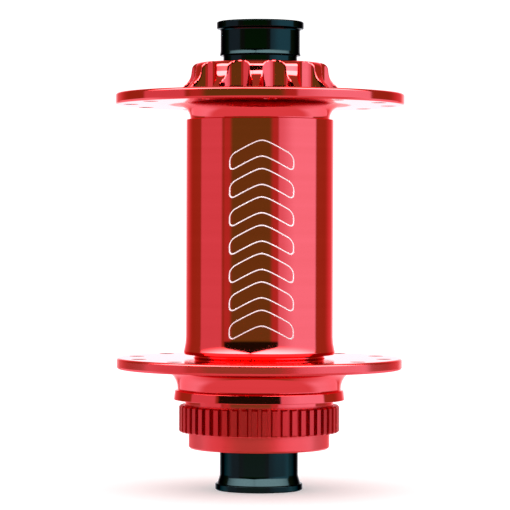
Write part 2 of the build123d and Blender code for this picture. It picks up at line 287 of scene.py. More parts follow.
floor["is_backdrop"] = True


# ---- Hub shell --------------------------------------------------------------------------
# One piece of aluminium, turned on a lathe, then milled: the collar's flutes, the teeth of
# the disc-rotor mount, the lockring's thread and two rings of spoke holes. It is polished
# and anodised red.

shell_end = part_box("hub_shell")[1].z / mm
right_flange_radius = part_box("hub_shell")[1].x / mm
bearing_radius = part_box("right_dust_seal")[1].x / mm

# Collar, from the flange up
COLLAR_LENGTH = 6.5
COLLAR_WALL = 2.45
COLLAR_ROUND = 1.4
COLLAR_DRAFT = 0.4
COLLAR_BASE = 3.15
COLLAR_WAIST_ROUND = 3.0
COLLAR_FOOT_ROUND = 1.5
MOUTH_CHAMFER = 0.3
FLUTE_COUNT = 12
FLUTE_RADIUS = 3.7
FLUTE_DEPTH = 0.85
FLUTE_FOOT = 0.35
FLUTE_FOOT_ROUND = 0.6
FLUTE_EDGE_NEAR = 7.0  # degrees from a flute's middle: its edge runs between these two
FLUTE_EDGE_FAR = 12.6
EDGE_SOFTNESS = 0.2
SHARP_ANGLE = radians(35)

# Flanges and spoke holes
FLANGE_THICKNESS = 2.35
FLANGE_ROUND = 0.45
LEFT_FLANGE_STEP = 0.4
SPOKE_COUNT = 12
SPOKE_HOLE_RADIUS = 1.3
RIGHT_SPOKE_EDGE = 3.3
LEFT_SPOKE_EDGE = 3.6
COUNTERSINK = 0.35

# Barrel
RIGHT_NECK_LENGTH = 3.15
RIGHT_NECK_ROUND = 3.05
BARREL_COVER = 3.75
BARREL_STEP = 0.85
BARREL_EDGE_ROUND = 0.15
FLARE_LENGTH = 3.5
FLARE_ROUND = 11.0
LIP_STEP = 0.45
LIP_WIDTH = 0.9
LIP_TAPER = 0.2
LIP_ROUND = 0.2
GROOVE_WIDTH = 1.45
GROOVE_DEPTH = 1.85
GROOVE_ROUND = 0.3
CAVITY_WALL = 2.35
CAVITY_CONE = 2.6
LEDGE_HEIGHT = 1.0
LEDGE_LENGTH = 4.8
RIGHT_LEDGE_DEPTH = 7.8
LEFT_LEDGE_DEPTH = 11.6

# Disc side, from the flange down
LEFT_NECK_LENGTH = 4.45
LEFT_NECK_STEP = 0.8
LEFT_NECK_ROUND = 4.2
LEFT_NECK_FILLET = 0.15
SEAT_WIDTH = 2.1
SEAT_STEP = 2.0
SEAT_CONE = 0.25
SEAT_EDGE_ROUND = 0.35
SEAT_RIM_ROUND = 0.08
LAND_BREADTH = 0.9
LAND_RAISE = 0.1
RELIEF_WIDTH = 1.2
RELIEF_DEPTH = 0.45
TOOTH_COUNT = 50
TOOTH_LENGTH = 5.7
TOOTH_HEIGHT = 0.84
TOOTH_CHAMFER = 0.3
GAP_WIDTH = 0.67
GAP_TAPER = 1.2
GAP_OVERCUT = 1.1
ROOT_STEP = 1.25
NOSE_LENGTH = 3.5
NOSE_WALL = 1.55
NOSE_CHAMFER = 0.35
NOSE_FILLET = 0.2
LOCKRING_STEP = 1.5
LOCKRING_DEPTH = 4.1
THREAD_PITCH = 1.0
THREAD_DEPTH = 0.45
THREAD_INSET = 0.1
THREAD_REACH = 0.01 * mm

# Rows of points on the collar's wall and the thread
FOOT_ROW = 0.12
FOOT_EDGE = 0.001
WALL_ROW = 0.42
WALL_ROWS_INSET = 0.3
WALL_ROWS_END = 1.6
THREAD_ROW = 0.16
ROW_REACH = 0.1

collar_radius = bearing_radius + COLLAR_WALL
left_flange_radius = right_flange_radius - LEFT_FLANGE_STEP
barrel_radius = bearing_radius + BARREL_COVER
neck_radius = barrel_radius - BARREL_STEP
lip_radius = barrel_radius + LIP_STEP
groove_radius = barrel_radius - GROOVE_DEPTH
lockring_radius = bearing_radius + LOCKRING_STEP
nose_radius = lockring_radius + NOSE_WALL
tooth_root = nose_radius + ROOT_STEP
tooth_tip = tooth_root + TOOTH_HEIGHT
relief_radius = tooth_root - RELIEF_DEPTH
seat_radius = tooth_root + SEAT_STEP
land_radius = seat_radius - LAND_BREADTH
left_neck_radius = seat_radius - LEFT_NECK_STEP
ledge_radius = bearing_radius - LEDGE_HEIGHT
cavity_radius = barrel_radius - CAVITY_WALL

right_flange_top = shell_end - COLLAR_LENGTH
right_flange_foot = right_flange_top - FLANGE_THICKNESS
barrel_top = right_flange_foot - RIGHT_NECK_LENGTH
tooth_foot = NOSE_LENGTH - shell_end
tooth_head = tooth_foot + TOOTH_LENGTH
seat_face = tooth_head + RELIEF_WIDTH
seat_back = seat_face + SEAT_WIDTH
left_flange_foot = seat_back + LEFT_NECK_LENGTH
left_flange_top = left_flange_foot + FLANGE_THICKNESS
lip_top = left_flange_top + GROOVE_WIDTH
lip_foot = lip_top - LIP_WIDTH + LIP_TAPER
right_ledge = shell_end - RIGHT_LEDGE_DEPTH
left_ledge = LEFT_LEDGE_DEPTH - shell_end
lockring_floor = LOCKRING_DEPTH - shell_end
flute_foot = right_flange_top + FLUTE_FOOT
thread_start = MOUTH_CHAMFER + THREAD_INSET - shell_end
thread_end = lockring_floor - THREAD_INSET


def arc_step(radius):
    """The angle between the points of an arc: small rounds are coarser than large ones."""
    if radius < 0.4:
        return radians(30)
    if radius < 1:
        return radians(22)
    return radians(13)


def arc_points(before, corner, after, radius):
    """Points of the arc that rounds a corner between two straight lines."""
    back = (before - corner).normalized()
    ahead = (after - corner).normalized()
    half = acos(max(-1, min(1, back.dot(ahead)))) / 2
    reach = radius / tan(half)
    centre = corner + (back + ahead).normalized() * (radius / sin(half))
    first = corner + back * reach - centre
    turn = first.angle_signed(corner + ahead * reach - centre)
    steps = max(2, round(abs(turn) / arc_step(radius)))
    points = []
    for step in range(steps + 1):
        angle = -turn * step / steps
        along = first.x * cos(angle) - first.y * sin(angle)
        up = first.x * sin(angle) + first.y * cos(angle)
        points.append(centre + Vector((along, up)))
    return points


def outline(*corners, hold=0.08):
    """The points of a closed (radius, height) outline in millimetres. A third value rounds a
    corner, and a point `hold` away from each end of an arc keeps the shading of flats flat."""
    long_enough = 6 * hold
    points = []
    for index, corner in enumerate(corners):
        here = Vector(corner[:2])
        if len(corner) == 2:
            points.append(here)
            continue
        before = Vector(corners[index - 1][:2])
        after = Vector(corners[(index + 1) % len(corners)][:2])
        arc = arc_points(before, here, after, corner[2])
        if (before - arc[0]).length > long_enough:
            points.append(arc[0] + (before - arc[0]).normalized() * hold)
        points.extend(arc)
        if (after - arc[-1]).length > long_enough:
            points.append(arc[-1] + (after - arc[-1]).normalized() * hold)
    return points


def with_rows(points, heights, nearest, farthest):
    """The same outline with a point added wherever it passes one of the heights, between two
    radii."""
    apart = 1e-4
    finer = []
    for index, here in enumerate(points):
        there = points[(index + 1) % len(points)]
        finer.append(here)
        low, high = sorted((here.y, there.y))
        crossed = [height for height in heights if low + apart < height < high - apart]
        for height in sorted(crossed, reverse=here.y > there.y):
            point = here.lerp(there, (height - here.y) / (there.y - here.y))
            if nearest < point.x < farthest:
                finer.append(point)
    return finer


def steps_between(low, high, step):
    """Evenly spaced heights from low to high, about a step apart."""
    count = round((high - low) / step)
    return [low + (high - low) * index / count for index in range(count + 1)]


def lathe(name, points, angles):
    """An object whose closed mesh, in metres, is an outline turned about Z through angles."""
    vertices = []
    for angle in angles:
        for point in points:
            radius = point.x * mm
            vertices.append((radius * cos(angle), radius * sin(angle), point.y * mm))
    rows = len(points)
    faces = []
    for side in range(len(angles)):
        here, there = side * rows, (side + 1) % len(angles) * rows
        for row in range(rows):
            up = (row + 1) % rows
            faces.append((here + row, there + row, there + up, here + up))
    mesh = bpy.data.meshes.new(name)
    mesh.from_pydata(vertices, [], faces)
    work = bmesh.new()
    work.from_mesh(mesh)
    bmesh.ops.recalc_face_normals(work, faces=work.faces)
    work.to_mesh(mesh)
    work.free()
    made = bpy.data.objects.new(name, mesh)
    bpy.context.scene.collection.objects.link(made)
    return made


def new_tree(name, sizes):
    """A Geometry Nodes tree with named inputs, and the wire of each input by its name."""
    tree = bpy.data.node_groups.new(name, "GeometryNodeTree")
    sockets = tree.interface
    sockets.new_socket("Geometry", in_out="OUTPUT", socket_type="NodeSocketGeometry")
    sockets.new_socket("Geometry", in_out="INPUT", socket_type="NodeSocketGeometry")
    for label, value in sizes.items():
        kind = "NodeSocketInt" if isinstance(value, int) else "NodeSocketFloat"
        if isinstance(value, bpy.types.Material):
            kind = "NodeSocketMaterial"
        sockets.new_socket(label, in_out="INPUT", socket_type=kind)
    group = tree.nodes.new("NodeGroupInput")
    return {socket.name: Wire(tree, socket) for socket in group.outputs if socket.name}


def run_tree(made, result, material, sizes):
    """Ends a tree with one plain mesh of one material, runs it on an object with the sizes
    given, and keeps what it makes as the object's own mesh."""
    result = result.node("GeometryNodeRealizeInstances", inputs={"Geometry": result})
    inputs = {"Geometry": result, "Material": material}
    result = result.node("GeometryNodeSetMaterial", inputs=inputs)
    result.node("NodeGroupOutput", inputs={0: result})
    modifier = made.modifiers.new("made", "NODES")
    modifier.node_group = result.tree
    for socket in result.tree.interface.items_tree:
        if socket.in_out == "INPUT" and socket.name in sizes:
            modifier[socket.identifier] = sizes[socket.name]
    graph = bpy.context.evaluated_depsgraph_get()
    mesh = bpy.data.meshes.new_from_object(made.evaluated_get(graph), depsgraph=graph)
    made.modifiers.clear()
    made.data = mesh


def shaded(shape, angle):
    """Smooth shading, broken at the edges that turn by more than an angle."""
    turned = shape.node("GeometryNodeInputMeshEdgeAngle")
    inputs = {"Geometry": shape, "Shade Smooth": True}
    smooth = shape.node("GeometryNodeSetShadeSmooth", {"domain": "FACE"}, inputs)
    inputs = {"Geometry": smooth, "Selection": turned.math("GREATER_THAN", angle)}
    inputs["Shade Smooth"] = False
    return shape.node("GeometryNodeSetShadeSmooth", {"domain": "EDGE"}, inputs)


def moved(shape, east, north, height):
    """The shape with each point at the place that three wires give."""
    place = shape.node("ShaderNodeCombineXYZ", inputs={0: east, 1: north, 2: height})
    return shape.node("GeometryNodeSetPosition", inputs={"Geometry": shape, "Position": place})


def point_place(shape):
    """Where each point of the shape is, as three wires."""
    position = shape.node("GeometryNodeInputPosition")
    parts = shape.node("ShaderNodeSeparateXYZ", inputs={0: position})
    return parts, parts.output("Y"), parts.output("Z")


def ring_of(shape, count, radius, height, first_angle):
    """Copies of a shape set evenly round Z, each turned to face outwards."""
    points = shape.node("GeometryNodePoints", inputs={"Count": count})
    angle = shape.node("GeometryNodeInputIndex") * (2 * pi) / count + first_angle
    points = moved(points, angle.math("COSINE") * radius, angle.math("SINE") * radius, height)
    turn = shape.node("ShaderNodeCombineXYZ", inputs={2: angle})
    inputs = {"Points": points, "Instance": shape, "Rotation": turn}
    return shape.node("GeometryNodeInstanceOnPoints", inputs=inputs)


def fluted(shape, size):
    """Draws the collar's wall in to the flutes: each point moves to where its line to the
    axis meets the flute's round cutter, and the flutes' edges are softened. A line that
    misses the cutter has its cut set a metre further out, so its point stays."""
    east, north, height = point_place(shape)
    radius = (east * east + north * north).math("SQRT")
    turns = north.math("ARCTAN2", east) * size["Flute Count"] / (2 * pi)
    aside = (turns - turns.math("FLOOR") - 0.5) * (2 * pi) / size["Flute Count"]
    foot_round = size["Flute Foot Round"]
    drop = (size["Flute Foot"] + foot_round - height).math("MAXIMUM", 0.0)
    kept = (foot_round * foot_round - drop * drop).math("MAXIMUM", 0.0).math("SQRT")
    reach = size["Flute Radius"] - foot_round + kept
    beside = size["Flute Centre"] * aside.math("SINE")
    inside = reach * reach - beside * beside
    half_chord = inside.math("MAXIMUM", 0.0).math("SQRT")
    below = height.math("LESS_THAN", size["Flute Foot"])
    missed = inside.math("LESS_THAN", 0.0).math("MAXIMUM", below)
    cut = size["Flute Centre"] * aside.math("COSINE") - half_chord + missed
    inner = radius.math("LESS_THAN", size["Flute Centre"] - size["Flute Radius"])
    scale = radius.math("SMOOTH_MIN", cut + inner, size["Edge Softness"]) / radius
    return moved(shape, east * scale, north * scale, height)


def threaded(shape, size):
    """Cuts the lockring's thread into its bore, as a helix that runs out at both ends."""
    east, north, height = point_place(shape)
    radius = (east * east + north * north).math("SQRT")
    turns = height / size["Thread Pitch"] - north.math("ARCTAN2", east) / (2 * pi)
    groove = turns.math("PINGPONG", 0.5) * 2 * size["Thread Depth"]
    in_bore = radius.math("COMPARE", size["Lockring Radius"], THREAD_REACH)
    start, end, pitch = size["Thread Start"], size["Thread End"], size["Thread Pitch"]
    in_length = height.rise(start, start + pitch / 2) * (1 - height.rise(end - pitch / 2, end))
    scale = (radius + groove * in_bore * in_length) / radius
    return moved(shape, east * scale, north * scale, height)


def tooth_gap(shape, size):
    """The cutter of one gap between teeth: a bar that widens outwards from the root."""
    depth = size["Tooth Height"] * 2
    inputs = {0: depth, 1: size["Gap Width"], 2: size["Tooth Length"] * GAP_OVERCUT}
    extent = shape.node("ShaderNodeCombineXYZ", inputs=inputs)
    bar = shape.node("GeometryNodeMeshCube", inputs={"Size": extent})
    along, side, height = point_place(shape)
    out = along + depth / 2
    return moved(bar, out, side * (1 + out / depth * size["Gap Taper"]), height)


def spoke_hole(shape, size):
    """The cutter of one spoke hole: a drill that flares into a countersink at each face."""
    inputs = {"Vertices": 32, "Side Segments": 3, "Radius": 1.0, "Depth": 3.0}
    drill = shape.node("GeometryNodeMeshCylinder", inputs=inputs)
    east, north, height = point_place(shape)
    outer = height.math("ABSOLUTE").math("GREATER_THAN", 1.0)
    radius = size["Spoke Hole Radius"] + outer * 2 * size["Countersink"]
    reach = size["Flange Thickness"] / 2 + (outer * 2 - 1) * size["Countersink"]
    return moved(drill, east * radius, north * radius, height.math("SIGN") * reach)


def object_place(start):
    """Radius from the hub's axis and height along it, in metres, as two wires."""
    place = start.node("ShaderNodeTexCoord", output="Object")
    parts = start.node("ShaderNodeSeparateXYZ", inputs={0: place})
    east, north = parts, parts.output("Y")
    return (east * east + north * north).math("SQRT"), parts.output("Z")


def turning_lines(start, pitch):
    """Noise in fine rings, as a lathe tool leaves them on walls and faces alike. `pitch` is
    the rings' usual breadth."""
    radius, height = object_place(start)
    place = start.node("ShaderNodeCombineXYZ", inputs={0: radius / pitch, 1: height / pitch})
    settings = {"noise_dimensions": "2D"}
    inputs = {"Vector": place, "Scale": 1.0, "Detail": 3.0, "Roughness": 0.6}
    return start.node("ShaderNodeTexNoise", settings, inputs)


def speckle(start, grain):
    """Even noise in every direction. `grain` is the usual size of a speck, in metres."""
    place = start.node("ShaderNodeTexCoord", output="Object")
    inputs = {"Vector": place, "Scale": 1 / grain, "Detail": 4.0}
    return start.node("ShaderNodeTexNoise", inputs=inputs)


def bumped(height, distance):
    """The normal of a surface that a pattern raises by up to a distance."""
    return height.node("ShaderNodeBump", inputs={"Height": height, "Distance": distance})


def finish_of(name, build):
    """A material whose Principled sockets, by name, are what build(wire) returns."""
    material = bpy.data.materials.new(name)
    material.use_nodes = True
    material.node_tree.nodes.clear()
    start = Wire(material.node_tree)
    shader = start.node("ShaderNodeBsdfPrincipled", inputs=build(start))
    start.node("ShaderNodeOutputMaterial", inputs={"Surface": shader})
    return material


def zone(height, start, end):
    """1 between two heights in millimetres. Each is a pair, between which it fades."""
    fade_in = height.rise(start[0] * mm, start[1] * mm)
    return fade_in * (1 - height.rise(end[0] * mm, end[1] * mm))


RED_DEEP = (0.65, 0.041, 0.042, 1)
RED_PALE = (0.71, 0.049, 0.052, 1)
RED_OF_TEETH = (0.47, 0.020, 0.022, 1)
RED_AT_EDGE = (1.0, 0.5, 0.5, 1)
RED_POLISH = 0.05
RED_RINGS = 0.05
RED_FLANGE = 0.12
RED_CORNER = 0.20
RED_DISC_SIDE = 0.22


def red_anodising(start):
    """Dyed anodising, deep red: mirror bright where the aluminium was polished, and softer
    on the left flange, in the corner under the right one, and on the teeth and nose. The
    teeth are darkest, and faint rings lie everywhere."""
    fine = turning_lines(start, 0.18 * mm)
    broad = turning_lines(start, 1.9 * mm)
    radius, height = object_place(start)
    foot, top = left_flange_foot, left_flange_top
    under = right_flange_foot
    on_flange = zone(height, (foot - 0.45, foot - 0.05), (top - 0.4, top - 0.1))
    near_neck = 1 - radius.rise((neck_radius + 3.6) * mm, (neck_radius + 5.1) * mm)
    in_corner = zone(height, (under - 1.25, under - 0.45), (under + 0.05, under + 0.15))
    in_corner = in_corner * near_neck
    on_disc_side = 1 - height.rise(tooth_head * mm, (tooth_head + 0.6) * mm)
    above_nose = height.rise((tooth_foot - 0.1) * mm, (tooth_foot + 0.1) * mm)
    dye = mixed(broad, RED_DEEP, RED_PALE)
    softer = on_flange * RED_FLANGE + in_corner * RED_CORNER + on_disc_side * RED_DISC_SIDE
    return {
        "Base Color": mixed(on_disc_side * above_nose, dye, RED_OF_TEETH),
        "Metallic": 1.0,
        "Roughness": fine * RED_RINGS + RED_POLISH + softer,
        "Specular Tint": RED_AT_EDGE,
        "Normal": bumped(fine, 0.5e-6),
    }


def column_angles(count):
    """Angles round the shell, in three stretches per half flute, closest where the flutes'
    edges run."""
    half_flute = 180 / count
    stretches = [
        (0.0, FLUTE_EDGE_NEAR, 6),
        (FLUTE_EDGE_NEAR, FLUTE_EDGE_FAR, 11),
        (FLUTE_EDGE_FAR, half_flute, 3),
    ]
    half = [
        low + (high - low) * step / steps
        for low, high, steps in stretches
        for step in range(steps)
    ]
    around = half + [half_flute] + [2 * half_flute - angle for angle in reversed(half[1:])]
    angles = []
    for flute in range(count):
        middle = half_flute + flute * 2 * half_flute
        angles.extend(radians(middle + angle) for angle in around)
    return angles


red = finish_of("red_anodised", red_anodising)

shell_outline = outline(
    (bearing_radius, shell_end - MOUTH_CHAMFER),
    (bearing_radius + MOUTH_CHAMFER, shell_end),
    (collar_radius, shell_end, COLLAR_ROUND),
    (collar_radius + COLLAR_DRAFT, right_flange_top + COLLAR_BASE, COLLAR_WAIST_ROUND),
    (collar_radius + COLLAR_DRAFT + COLLAR_BASE, right_flange_top, COLLAR_FOOT_ROUND),
    (right_flange_radius, right_flange_top, FLANGE_ROUND),
    (right_flange_radius, right_flange_foot, FLANGE_ROUND),
    (neck_radius, right_flange_foot, RIGHT_NECK_ROUND),
    (neck_radius, barrel_top),
    (barrel_radius, barrel_top, BARREL_EDGE_ROUND),
    (barrel_radius, lip_top + FLARE_LENGTH / 2, FLARE_ROUND),
    (lip_radius, lip_top, LIP_ROUND),
    (lip_radius - LIP_TAPER, lip_foot, LIP_ROUND),
    (groove_radius, lip_foot, GROOVE_ROUND),
    (groove_radius, left_flange_top, GROOVE_ROUND),
    (left_flange_radius, left_flange_top, FLANGE_ROUND),
    (left_flange_radius, left_flange_foot, FLANGE_ROUND),
    (left_neck_radius, left_flange_foot, LEFT_NECK_ROUND),
    (left_neck_radius, seat_back, LEFT_NECK_FILLET),
    (seat_radius - SEAT_CONE, seat_back, SEAT_EDGE_ROUND),
    (seat_radius, seat_face, SEAT_RIM_ROUND),
    (land_radius, seat_face),
    (land_radius, seat_face + LAND_RAISE),
    (relief_radius, seat_face + LAND_RAISE),
    (relief_radius, tooth_head),
    (tooth_tip - TOOTH_CHAMFER, tooth_head),
    (tooth_tip, tooth_head - TOOTH_CHAMFER),
    (tooth_tip, tooth_foot + TOOTH_CHAMFER),
    (tooth_tip - TOOTH_CHAMFER, tooth_foot),
    (nose_radius, tooth_foot, NOSE_FILLET),
    (nose_radius, NOSE_CHAMFER - shell_end),
    (nose_radius - NOSE_CHAMFER, -shell_end),
    (lockring_radius + MOUTH_CHAMFER, -shell_end),
    (lockring_radius, MOUTH_CHAMFER - shell_end),
    (lockring_radius, lockring_floor),
    (bearing_radius, lockring_floor),
    (bearing_radius, left_ledge),
    (ledge_radius, left_ledge),
    (ledge_radius, lip_top + LIP_WIDTH),
    (cavity_radius, lip_top + LIP_WIDTH + CAVITY_CONE),
    (cavity_radius, right_ledge - LEDGE_LENGTH - CAVITY_CONE),
    (ledge_radius, right_ledge - LEDGE_LENGTH),
    (ledge_radius, right_ledge),
    (bearing_radius, right_ledge),
)
foot_round_top = flute_foot + FLUTE_FOOT_ROUND
flute_rows = [flute_foot - 2 * FOOT_EDGE]
flute_rows += steps_between(flute_foot, foot_round_top, FOOT_ROW)
flute_rows += steps_between(foot_round_top + WALL_ROWS_INSET, shell_end - WALL_ROWS_END, WALL_ROW)
shell_outline = with_rows(shell_outline, flute_rows, collar_radius - ROW_REACH, seat_radius)
thread_rows = steps_between(thread_start, thread_end, THREAD_ROW)
shell_outline = with_rows(
    shell_outline, thread_rows, lockring_radius - ROW_REACH, lockring_radius + ROW_REACH
)
shell = lathe("shell", shell_outline, column_angles(FLUTE_COUNT))

shell_sizes = {
    "Flute Count": FLUTE_COUNT,
    "Flute Radius": FLUTE_RADIUS * mm,
    "Flute Centre": (collar_radius + FLUTE_RADIUS - FLUTE_DEPTH) * mm,
    "Flute Foot": (flute_foot - FOOT_EDGE) * mm,
    "Flute Foot Round": FLUTE_FOOT_ROUND * mm,
    "Edge Softness": EDGE_SOFTNESS * mm,
    "Thread Pitch": THREAD_PITCH * mm,
    "Thread Depth": THREAD_DEPTH * mm,
    "Thread Start": thread_start * mm,
    "Thread End": thread_end * mm,
    "Lockring Radius": lockring_radius * mm,
    "Tooth Count": TOOTH_COUNT,
    "Tooth Root": tooth_root * mm,
    "Tooth Height": TOOTH_HEIGHT * mm,
    "Tooth Length": TOOTH_LENGTH * mm,
    "Tooth Middle": (tooth_head + tooth_foot) / 2 * mm,
    "Gap Width": GAP_WIDTH * mm,
    "Gap Taper": GAP_TAPER,
    "Spoke Count": SPOKE_COUNT,
    "Spoke Hole Radius": SPOKE_HOLE_RADIUS * mm,
    "Countersink": COUNTERSINK * mm,
    "Right Spoke Circle": (right_flange_radius - RIGHT_SPOKE_EDGE) * mm,
    "Left Spoke Circle": (left_flange_radius - LEFT_SPOKE_EDGE) * mm,
    "Right Flange Middle": (right_flange_foot + FLANGE_THICKNESS / 2) * mm,
    "Left Flange Middle": (left_flange_foot + FLANGE_THICKNESS / 2) * mm,
    "Flange Thickness": FLANGE_THICKNESS * mm,
    "Sharp Angle": SHARP_ANGLE,
    "Finish": red,
}
size = new_tree("shell_milling", shell_sizes)
body = threaded(fluted(size["Geometry"], size), size)
gap = tooth_gap(body, size)
gaps = ring_of(gap, size["Tooth Count"], size["Tooth Root"], size["Tooth Middle"], 0.0)
hole = spoke_hole(body, size)
# The two flanges' holes are half a step apart, a quarter step to either side.
quarter_step = 2 * pi / SPOKE_COUNT / 4
right_circle, right_middle = size["Right Spoke Circle"], size["Right Flange Middle"]
right_holes = ring_of(hole, size["Spoke Count"], right_circle, right_middle, quarter_step)
left_circle, left_middle = size["Left Spoke Circle"], size["Left Flange Middle"]
left_holes = ring_of(hole, size["Spoke Count"], left_circle, left_middle, -quarter_step)
inputs = {"Mesh 1": body, "Mesh 2": [gaps, right_holes, left_holes]}
settings = {"operation": "DIFFERENCE", "solver": "MANIFOLD"}
body = body.node("GeometryNodeMeshBoolean", settings, inputs)
run_tree(shell, shaded(body, size["Sharp Angle"]), size["Finish"], shell_sizes)
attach(shell, "shell")
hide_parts("hub_shell")


# ---- Etched ornament --------------------------------------------------------------------
# A plain decoration on the barrel: a column of outlined chevrons with rounded ends. A laser
# takes the dye off along thin lines, which leaves bare, slightly raised, matt aluminium.


ORNAMENT_ASIDE = radians(1.5)


def etched_line(start):
    """Bare aluminium that a laser has roughened: pale and matt, in fine strokes."""
    strokes = speckle(start, 0.12 * mm)
    return {
        "Base Color": mixed(strokes, (0.96, 0.76, 0.80, 1), (1.0, 0.88, 0.91, 1)),
        "Roughness": 0.55 + 0.25 * strokes,
        "Normal": bumped(strokes, 2e-6),
    }


ornament = bpy.data.objects.new("barrel_ornament", bpy.data.meshes.new("barrel_ornament"))
bpy.context.scene.collection.objects.link(ornament)
ornament_sizes = {
    "Chevrons": 7,
    "Width": 13.8 * mm,
    "Bar Height": 3.3 * mm,
    "Bend": 0.55,
    "Bend Round": 1.2 * mm,
    "Corner Round": 1.2 * mm,
    "Step": 5.9 * mm,
    "Line Width": 0.27 * mm,
    "Line Height": 0.03 * mm,
    "Barrel Radius": barrel_radius * mm,
    "Middle Angle": EYE_AZIMUTH + ORNAMENT_ASIDE - pi / 2,
    "Middle Height": 3.0 * mm,
    "Finish": finish_of("etched_aluminium", etched_line),
}
size = new_tree("barrel_ornament", ornament_sizes)
start = size["Geometry"]
inputs = {"Width": size["Width"], "Height": size["Bar Height"]}
bar = start.node("GeometryNodeCurvePrimitiveQuadrilateral", inputs=inputs)
inputs = {"Curve": bar, "Radius": size["Corner Round"], "Count": 6}
bar = start.node("GeometryNodeFilletCurve", {"mode": "POLY"}, inputs)
inputs = {"Curve": bar, "Length": size["Line Width"]}
bar = start.node("GeometryNodeResampleCurve", {"mode": "LENGTH"}, inputs)
inputs = {"Width": size["Line Width"], "Height": size["Line Width"]}
line = start.node("GeometryNodeCurvePrimitiveQuadrilateral", inputs=inputs)
bar = start.node("GeometryNodeCurveToMesh", inputs={"Curve": bar, "Profile Curve": line})
step_up = start.node("ShaderNodeCombineXYZ", inputs={1: size["Step"]})
inputs = {"Count": size["Chevrons"], "Offset": step_up}
column = start.node("GeometryNodeMeshLine", inputs=inputs)
bars = start.node("GeometryNodeInstanceOnPoints", inputs={"Points": column, "Instance": bar})
bars = start.node("GeometryNodeRealizeInstances", inputs={"Geometry": bars})
along, up, out = point_place(bars)
bend = (along * along + size["Bend Round"] * size["Bend Round"]).math("SQRT") * size["Bend"]
angle = size["Middle Angle"] + along / size["Barrel Radius"]
radius = size["Barrel Radius"] + out * size["Line Height"] / size["Line Width"]
# The bend drops a chevron's ends, so the column is lifted to stay about its middle height.
height = up - bend - size["Step"] * (size["Chevrons"] - 1) / 2 + size["Middle Height"]
height = height + size["Width"] * size["Bend"] / 3
bars = moved(bars, radius * angle.math("COSINE"), radius * angle.math("SINE"), height)
run_tree(ornament, bars, size["Finish"], ornament_sizes)
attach(ornament, "shell")


# ---- End caps ---------------------------------------------------------------------------
# Two turned aluminium caps, anodised black. They push on to the stubs of the axle tube,
# where an O-ring in a groove holds each, and their rims sit in the fork ends.

BORE_RADIUS = 6.05
STUB_WALL = 0.95

stub_radius = BORE_RADIUS + STUB_WALL
half_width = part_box("right_end_cap")[1].z / mm
tube_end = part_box("axle_tube")[1].z / mm
right_cap_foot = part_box("right_end_cap")[0].z / mm
left_cap_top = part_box("left_end_cap")[1].z / mm
right_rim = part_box("right_end_cap")[1].x / mm
left_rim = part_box("left_end_cap")[1].x / mm

RIM_CHAMFER = 0.2
RIM_SOFTNESS = 0.06
BORE_CHAMFER = 0.4
RIGHT_RIM_HEIGHT = 1.6
RIGHT_RIM_STEP = 0.81
RIGHT_RIM_FILLET = 0.4
SKIRT_HEIGHT = 7.3
SKIRT_FLARE = 0.15
SKIRT_EDGE = 0.15
SKIRT_EDGE_ROUND = 0.05
FLARE_HEIGHT = 0.9
SKIRT_FLARE_ROUND = 2.0
CAP_NECK_STEP = 0.6
CAP_NECK_FILLET = 0.2
LEFT_RIM_HEIGHT = 1.45
LEFT_RIM_STEP = 1.0
CONE_STEP = 0.5
CONE_HEIGHT = 1.65
CONE_ROUND = 1.5
RING_GROOVE_DEPTH = 0.75
RING_GROOVE_HALF = 0.475
RING_DEPTH = 3.4
CAP_COLUMNS = 288
CAP_SHARP_ANGLE = radians(30)
CAP_HOLD = 0.04

right_body = right_rim - RIGHT_RIM_STEP
left_body = left_rim - LEFT_RIM_STEP
right_rim_foot = half_width - RIGHT_RIM_HEIGHT
skirt_foot = half_width - SKIRT_HEIGHT
left_rim_top = LEFT_RIM_HEIGHT - half_width
ring_middle = tube_end - RING_DEPTH
ring_groove = stub_radius + RING_GROOVE_DEPTH


def black_anodising(start):
    """Black dyed anodising over fine turning: smooth, but with hardly any shine."""
    lines = turning_lines(start, 0.12 * mm)
    specks = speckle(start, 0.3 * mm)
    return {
        "Base Color": mixed(specks, (0.0060, 0.0110, 0.0120, 1), (0.0090, 0.0150, 0.0160, 1)),
        "Metallic": 1.0,
        "Roughness": 0.08 + 0.08 * lines,
        "Specular Tint": (0.4, 0.4, 0.4, 1),
        "Normal": bumped(lines, 0.6e-6),
    }


def sharp_by_angle(piece, angle):
    """Smooth shading on a finished mesh, broken at edges that turn by more than an angle."""
    tree_sizes = {"Sharp Angle": angle, "Finish": piece.data.materials[0]}
    tree = new_tree(piece.name + "_shading", tree_sizes)
    shape = shaded(tree["Geometry"], tree["Sharp Angle"])
    run_tree(piece, shape, tree["Finish"], tree_sizes)


black = finish_of("black_anodised", black_anodising)
cap_angles = [2 * pi * step / CAP_COLUMNS for step in range(CAP_COLUMNS)]

